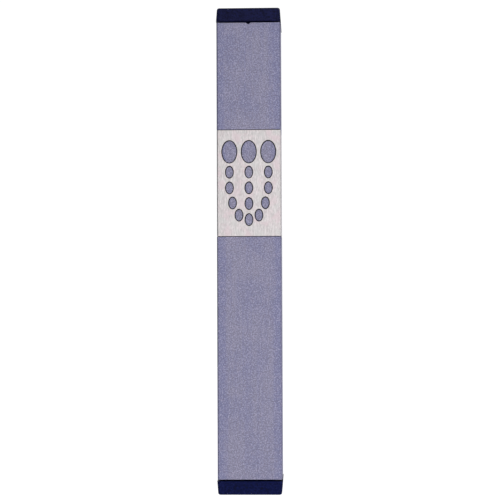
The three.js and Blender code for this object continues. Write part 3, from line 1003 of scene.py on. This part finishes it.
def build_cap(context):
    cap = context.scene.doorpost_cap
    channel = context.scene.doorpost_channel
    head_top = CAP_LOW[2] + cap.head
    middle_y = (CAP_LOW[1] + CAP_HIGH[1]) / 2
    piece = add_block("lower_end_cap", CAP_LOW, (*CAP_HIGH[:2], head_top))
    round_edges(cap.corner, 8, lambda e: runs_along(e, 2))
    narrowed = 1 - 2 * cap.draft / (CAP_HIGH[0] - CAP_LOW[0])
    draw_in(lambda f: f.normal.z < -0.9, (narrowed, narrowed, 1), (0, middle_y, CAP_LOW[2]))
    bpy.ops.mesh.region_to_loop()
    bpy.ops.mesh.bevel(offset=cap.rim, segments=6, affect="EDGES", clamp_overlap=True)

    pick("FACE", lambda f: f.normal.z > 0.9)
    for rise, gap in spigot_steps(cap.fins):
        step_to(*spigot_level(channel, rise, gap))
    low, _ = picked_box()
    lead_in = 0.5 * MM
    step_to(*spigot_level(channel, CAP_HIGH[2] - lead_in - low.z, CORE_GAP))
    step_to(*spigot_level(channel, lead_in, CORE_GAP + lead_in))
    close_up()

    hollow_spigot(piece, cap, channel)
    cut(piece, rail_way(channel, CAP_LOW[2] - MM, head_top + MM))
    mark_gate(piece, middle_y - 1.2 * MM)
    soften(piece, cap.edge)
    return piece


def build_caps(context):
    """The upper cap is the lower one, turned half round its front to back axis."""
    lower = build_cap(context)
    upper = copy_of(lower, "upper_end_cap")
    placed(upper, (0, math.pi, 0), (0, 0, 0))
    finished(
        "navy_plastic", moulded_plastic,
        (lower, "bottom_cap", "bottom_cap"), (upper, "top_cap", "top_cap"),
    )


# ---------- The rail and its screws ----------


def build_rail(context):
    rail = context.scene.doorpost_rail
    web = rail.web_width / 2
    flange = RAIL_HIGH[0]
    front = RAIL_LOW[1]
    half = [(web, 0), (web, -rail.web_depth), (flange, -rail.web_depth), (flange, front)]
    piece = drawn_outline("slide_on_rail", half + flipped(half), RAIL_LOW[2])
    raise_outline(piece, RAIL_HIGH[2] - RAIL_LOW[2])
    ends = (RAIL_LOW[2], RAIL_HIGH[2])
    round_edges(
        rail.chamfer, 1,
        lambda e: runs_along(e, 1) and near(abs(middle(e).x), flange)
        and any(near(middle(e).z, z) for z in ends),
    )
    for side in (-1, 1):
        z = side * rail.screw_spacing / 2
        drill = add_pin("drill", (0, front / 2, z), rail.hole, 12 * MM, 48)
        deepest = front + rail.countersink - rail.hole
        rise = 1 * MM
        deselect_all()
        bpy.ops.mesh.primitive_cone_add(
            vertices=48, radius1=rail.countersink + rise, radius2=rail.hole,
            depth=deepest - front + rise, location=(0, (deepest + front - rise) / 2, z),
            rotation=(-math.pi / 2, 0, 0),
        )
        cut(piece, drill, named("countersink"))
    soften(piece, 0.1 * MM)
    finished("plain_aluminium", mill_aluminium, (piece, "wall_mount", "wall_rail"))


def screw_body(rail, head_y):
    """The screw's head and core, spun round Y from half of its outline."""
    head = SCREW_HIGH[0]
    rim = 0.2 * MM
    cone_foot = head_y + rim + head - rail.thread
    point = SCREW_HIGH[1]
    outline = [
        (0, head_y), (head - 0.08 * MM, head_y), (head, head_y + 0.08 * MM), (head, head_y + rim),
        (rail.thread, cone_foot), (rail.shank, cone_foot + 0.4 * MM), (rail.shank, point - 3 * MM),
        (0.72 * rail.shank, point - 1.6 * MM), (0.35 * rail.shank, point - 0.55 * MM), (0, point),
    ]
    piece = point_to_draw("screw", (0, head_y, 0))
    draw_through(outline)
    bpy.ops.mesh.spin(steps=40, angle=2 * math.pi, center=(0, 0, 0), axis=(0, 1, 0))
    close_up()
    return piece, cone_foot


def screw_thread(rail, start, end):
    """A ridge wound round the core, thinning out at both ends."""
    sink = 0.25 * MM
    ridge = [
        (rail.shank - sink, start - 0.5 * MM), (rail.thread, start - 0.07 * MM),
        (rail.thread, start + 0.07 * MM), (rail.shank - sink, start + 0.5 * MM),
    ]
    piece = drawn_outline("thread", ridge, 0)
    turns = int((end - start) / rail.pitch)
    modified(
        piece, "SCREW", axis="Y", angle=2 * math.pi * turns, screw_offset=rail.pitch * turns,
        steps=28 * turns, render_steps=28 * turns, use_merge_vertices=False,
    )
    edit_all(piece)
    bpy.ops.mesh.fill_holes(sides=len(ridge))
    close_up()
    taper_from = SCREW_HIGH[1] - 3.4 * MM
    for vertex in piece.data.vertices:
        radius = math.hypot(vertex.co.x, vertex.co.z)
        fade_in = min(1.0, (vertex.co.y - start + 0.5 * MM) / (0.7 * rail.pitch))
        fade_out = min(1.0, (end + 0.9 * MM - vertex.co.y) / (end + 0.9 * MM - taper_from))
        crest = max(0.0, radius - rail.shank + sink)
        wanted = (rail.shank - sink) * max(0.3, fade_out) + crest * max(0.0, min(fade_in, fade_out))
        vertex.co.x *= wanted / radius
        vertex.co.z *= wanted / radius
    return piece


def build_screws(context):
    rail = context.scene.doorpost_rail
    head_y = SCREW_LOW[1]
    piece, cone_foot = screw_body(rail, head_y)
    thread = screw_thread(rail, cone_foot + 1.4 * MM, SCREW_HIGH[1] - 1.2 * MM)
    cut(piece, thread, operation="UNION")

    arm = 3.3 * MM
    web = 0.8 * MM
    depth = 1.5 * MM
    for width, height in ((arm, web), (web, arm)):
        low = (-width / 2, head_y - MM, -height / 2)
        slot = add_block("recess", low, (width / 2, head_y + depth, height / 2))
        draw_in(lambda f: f.normal.y > 0.9, PUNCH_TIP, (0, head_y, 0))
        cut(piece, slot)
    soften(piece, 0.05 * MM, sharper_than=50)

    upper = copy_of(piece, "upper_wood_screw")
    lower = copy_of(piece, "lower_wood_screw")
    bpy.data.objects.remove(piece)
    for screw, side, turn in ((upper, 1, 0.35), (lower, -1, -0.6)):
        placed(screw, (0, turn, 0), (0, 0, side * rail.screw_spacing / 2))
    finished(
        "zinc_screws", zinc_plate,
        (upper, "wall_mount", "upper_screw"), (lower, "wall_mount", "lower_screw"),
    )


# ---------- The parchment and its film ----------


def rolled_sheet(name, low_z, high_z, outer, pitch, turns, start, rows):
    """Rolls a sheet by spinning its edge round a centre that moves in after each part turn."""
    piece = point_to_draw(name, (0, SCROLL_Y, low_z))
    offset = Vector((outer * math.cos(start), outer * math.sin(start), 0))
    bpy.ops.transform.translate(value=offset)
    for _ in range(rows):
        draw_line((0, 0, (high_z - low_z) / rows))
    take_all()

    centre = Vector((0, SCROLL_Y, 0))
    radius = outer
    parts = 8
    for _ in range(round(turns * parts)):
        bpy.ops.mesh.spin(steps=5, angle=2 * math.pi / parts, center=centre, axis=(0, 0, 1))
        column, _ = picked_box()
        edge = Vector((column.x, column.y, 0))
        smaller = radius - pitch / parts
        centre = edge + (centre - edge) * (smaller / radius)
        radius = smaller
    take_all()
    bpy.ops.mesh.remove_doubles(threshold=WELD)
    leave_edit()
    return piece


def thickened(piece, thickness):
    """Gives a sheet its thickness, half to each side."""
    modified(piece, "SOLIDIFY", thickness=thickness, offset=0.0, use_even_offset=True)
    edit_all(piece)
    close_up()
    smooth(piece)


def build_parchment(context):
    scroll = context.scene.doorpost_scroll
    sheet_length = 100 * MM
    outer = (ROLL_HIGH[1] - ROLL_LOW[1]) / 2 - scroll.sheet
    inner = math.sqrt(outer**2 - sheet_length * scroll.pitch / math.pi)
    turns = (outer - inner) / scroll.pitch
    piece = rolled_sheet(
        "rolled_parchment", ROLL_LOW[2], ROLL_HIGH[2], outer, scroll.pitch, turns,
        start=1.1, rows=60,
    )
    clouds = bpy.data.textures.new("parchment_waves", "CLOUDS")
    clouds.noise_scale = 14 * MM
    modified(
        piece, "DISPLACE", texture=clouds, texture_coords="LOCAL", strength=scroll.curl,
        mid_level=0.5,
    )
    thickened(piece, scroll.sheet)
    finished("parchment", parchment_skin, (piece, "scroll", "parchment_scroll"))


def build_film(context):
    scroll = context.scene.doorpost_scroll
    outer = (FILM_HIGH[0] - FILM_LOW[0]) / 2 - scroll.film
    piece = rolled_sheet(
        "clear_film_sleeve", FILM_LOW[2], FILM_HIGH[2], outer, scroll.lap,
        turns=1.125, start=2.3, rows=26,
    )
    thickened(piece, scroll.film)
    finished("clear_film", clear_film, (piece, "scroll", "scroll_sleeve"))


# ---------- The stage ----------


def point_at(thing, target, roll=0.0):
    way = Vector(target) - thing.location
    turn = way.to_track_quat("-Z", "Y").to_matrix() @ Matrix.Rotation(roll, 3, "Z")
    thing.rotation_euler = turn.to_euler()


def add_softbox(name, place, width, height, power, tint=(1.0, 1.0, 1.0)):
    bpy.ops.object.light_add(type="AREA", location=place)
    light = bpy.context.object
    light.name = name
    light.data.shape = "RECTANGLE"
    light.data.size = width
    light.data.size_y = height
    light.data.energy = power
    light.data.color = tint
    light.visible_camera = False
    point_at(light, MIDDLE)


def add_camera(stage):
    front = ALL_LOW[1]
    off_centre = (0.28 * MM, -0.1 * MM)
    aim = Vector((off_centre[0], front, off_centre[1]))
    away = Vector(
        (
            math.sin(stage.azimuth) * math.cos(stage.elevation),
            -math.cos(stage.azimuth) * math.cos(stage.elevation),
            math.sin(stage.elevation),
        )
    )
    bpy.ops.object.camera_add(location=aim + away * stage.distance)
    camera = bpy.context.object
    camera.data.sensor_width = 36.0
    camera.data.lens = camera.data.sensor_width * stage.distance / stage.view_height
    camera.data.clip_start = 0.01
    camera.data.clip_end = 20.0
    point_at(camera, aim, stage.roll)
    bpy.context.scene.camera = camera


def add_floor(stage):
    deselect_all()
    bpy.ops.mesh.primitive_circle_add(
        vertices=96, radius=4.0, fill_type="NGON", location=(0, 0, ALL_LOW[2] - stage.drop)
    )
    floor = named("studio_floor")
    floor.data.materials.append(pale_floor(stage))


def light_world():
    """White to the camera. As light it is bright only behind the case, as a paper backdrop is."""
    maker = Finish("studio", "worlds")
    bpy.context.scene.world = maker.material
    direction = maker.node("ShaderNodeTexCoord", output="Generated")
    to_back = maker.node("ShaderNodeSeparateXYZ", {0: direction}, "Y")
    levels = {"From Min": 0.55, "From Max": 0.95, "To Min": 0.30, "To Max": 1.1}
    backdrop = maker.node("ShaderNodeMapRange", {"Value": to_back, **levels})
    cool = (0.95, 0.96, 1.0, 1.0)
    white = (1.0, 1.0, 1.0, 1.0)
    lit = maker.node("ShaderNodeBackground", {"Color": cool, "Strength": backdrop})
    seen = maker.node("ShaderNodeBackground", {"Color": white, "Strength": 1.05})
    to_camera = maker.node("ShaderNodeLightPath", output="Is Camera Ray")
    either = maker.node("ShaderNodeMixShader", {0: to_camera, 1: lit, 2: seen})
    maker.node("ShaderNodeOutputWorld", {"Surface": either})


def add_dark_flag(name, place, width, height):
    """A dark panel out of the camera's sight, that keeps one side of the case darker."""
    bpy.ops.mesh.primitive_plane_add(size=1, location=place)
    flag = bpy.context.object
    flag.scale = (width, height, 1)
    point_at(flag, MIDDLE)
    flag = named(name)
    maker = Finish("dark_flag")
    flag.data.materials.append(maker.shade(Base_Color=(0.15, 0.15, 0.16), Roughness=1.0))
    flag.visible_camera = False
    flag.visible_shadow = False


def build_stage(context):
    stage = context.scene.doorpost_stage
    add_floor(stage)
    add_camera(stage)
    light_world()
    add_softbox("key_front", (0.10, -0.93, 0.19), 0.7, 0.8, 2.3)
    add_softbox("key_right", (0.72, -0.42, 0.10), 0.25, 0.8, 0.7, (1.0, 0.98, 0.95))
    add_softbox("top", (0.0, -0.15, 0.95), 0.7, 0.7, 1.2)
    add_dark_flag("flag_left", (-0.55, -0.10, 0.0), 1.3, 1.4)
    context.scene.view_settings.view_transform = "Standard"


# ---------- Operators, panel and registration ----------


class DOORPOST_OT_stage(bpy.types.Operator):
    """Add the floor, the lights and the camera"""

    bl_idname = "doorpost.stage"
    bl_label = "Add Stage"
    bl_options = {"REGISTER", "UNDO"}

    def execute(self, context):
        build_stage(context)
        return {"FINISHED"}


class DOORPOST_OT_channel(bpy.types.Operator):
    """Model the anodised channel"""

    bl_idname = "doorpost.channel"
    bl_label = "Model Channel"
    bl_options = {"REGISTER", "UNDO"}

    def execute(self, context):
        build_channel(context)
        return {"FINISHED"}


class DOORPOST_OT_band(bpy.types.Operator):
    """Model the perforated steel band"""

    bl_idname = "doorpost.band"
    bl_label = "Model Band"
    bl_options = {"REGISTER", "UNDO"}

    def execute(self, context):
        build_band(context)
        return {"FINISHED"}


class DOORPOST_OT_adhesive_shade(bpy.types.Operator):
    """Model the black film under the band, which is painted shade round its holes and edges"""

    bl_idname = "doorpost.adhesive"
    bl_label = "Model Adhesive Film"
    bl_options = {"REGISTER", "UNDO"}

    def execute(self, context):
        build_adhesive_shade(context)
        return {"FINISHED"}


class DOORPOST_OT_caps(bpy.types.Operator):
    """Model the two push-in end caps"""

    bl_idname = "doorpost.caps"
    bl_label = "Model Caps"
    bl_options = {"REGISTER", "UNDO"}

    def execute(self, context):
        build_caps(context)
        return {"FINISHED"}


class DOORPOST_OT_rail(bpy.types.Operator):
    """Model the rail that the case slides onto"""

    bl_idname = "doorpost.rail"
    bl_label = "Model Rail"
    bl_options = {"REGISTER", "UNDO"}

    def execute(self, context):
        build_rail(context)
        return {"FINISHED"}


class DOORPOST_OT_screws(bpy.types.Operator):
    """Model the two wood screws"""

    bl_idname = "doorpost.screws"
    bl_label = "Model Screws"
    bl_options = {"REGISTER", "UNDO"}

    def execute(self, context):
        build_screws(context)
        return {"FINISHED"}


class DOORPOST_OT_parchment(bpy.types.Operator):
    """Model the blank rolled parchment"""

    bl_idname = "doorpost.parchment"
    bl_label = "Model Parchment"
    bl_options = {"REGISTER", "UNDO"}

    def execute(self, context):
        build_parchment(context)
        return {"FINISHED"}


class DOORPOST_OT_film(bpy.types.Operator):
    """Model the clear film round the parchment"""

    bl_idname = "doorpost.film"
    bl_label = "Model Film"
    bl_options = {"REGISTER", "UNDO"}

    def execute(self, context):
        build_film(context)
        return {"FINISHED"}


OPERATORS = (
    DOORPOST_OT_stage, DOORPOST_OT_channel, DOORPOST_OT_band, DOORPOST_OT_adhesive_shade,
    DOORPOST_OT_caps, DOORPOST_OT_rail, DOORPOST_OT_screws, DOORPOST_OT_parchment,
    DOORPOST_OT_film,
)


class DOORPOST_PT_panel(bpy.types.Panel):
    """Lists the pieces in the order they are made"""

    bl_idname = "DOORPOST_PT_panel"
    bl_label = "Doorpost Case"
    bl_space_type = "VIEW_3D"
    bl_region_type = "UI"
    bl_category = "Doorpost Case"

    def draw(self, context):
        for group in SETTINGS:
            box = self.layout.box()
            for name in SETTINGS[group].__annotations__:
                box.prop(getattr(context.scene, group), name)
        for operator in OPERATORS:
            self.layout.operator(operator.bl_idname)


CLASSES = (*SETTINGS.values(), *OPERATORS, DOORPOST_PT_panel)


def register():
    for each in CLASSES:
        bpy.utils.register_class(each)
    for name, group in SETTINGS.items():
        setattr(bpy.types.Scene, name, bpy.props.PointerProperty(type=group))


def unregister():
    for name in SETTINGS:
        delattr(bpy.types.Scene, name)
    for each in reversed(CLASSES):
        bpy.utils.unregister_class(each)


def main():
    register()
    for operator in OPERATORS:
        group, name = operator.bl_idname.split(".")
        getattr(getattr(bpy.ops, group), name)()
    deselect_all()


if __name__ == "__main__":
    main()
